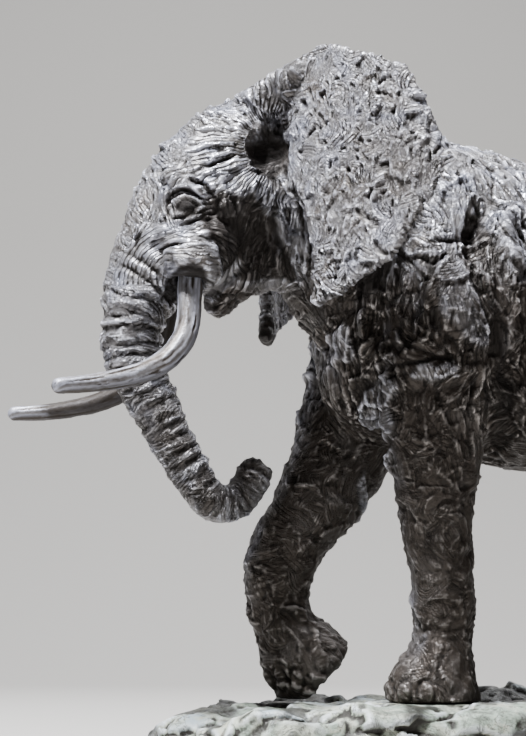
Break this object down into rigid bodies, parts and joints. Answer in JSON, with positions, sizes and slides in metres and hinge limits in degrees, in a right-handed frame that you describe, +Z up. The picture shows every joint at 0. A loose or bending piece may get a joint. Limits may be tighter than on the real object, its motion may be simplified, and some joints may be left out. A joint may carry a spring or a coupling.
{
  "type": "elephant sculpture",
  "caption": "Cast bronze sculpture of a walking bull elephant with raised foreleg, spread ears, curled trunk and long tusks, on a low slab of rough bronze ground.",
  "frame": {"origin": "centre of the ground's flat underside", "axes": "+Z up, the elephant walks towards -X, its left side is at -Y"},
  "size_m": [0.9913, 0.4114, 0.6872],
  "materials": {
    "bronze": "dark grey-brown patina, rubbed silvery on the ridges",
    "tusk_bronze": "chased lengthwise and rubbed bright, silvery blue",
    "ground_bronze": "pale green, cream and blue-grey patina with dark cracks"
  },
  "bodies": {
    "root": {"elephant": "bronze", "left_tusk": "tusk_bronze", "right_tusk": "tusk_bronze", "ground": "ground_bronze"}
  },
  "joints": []
}
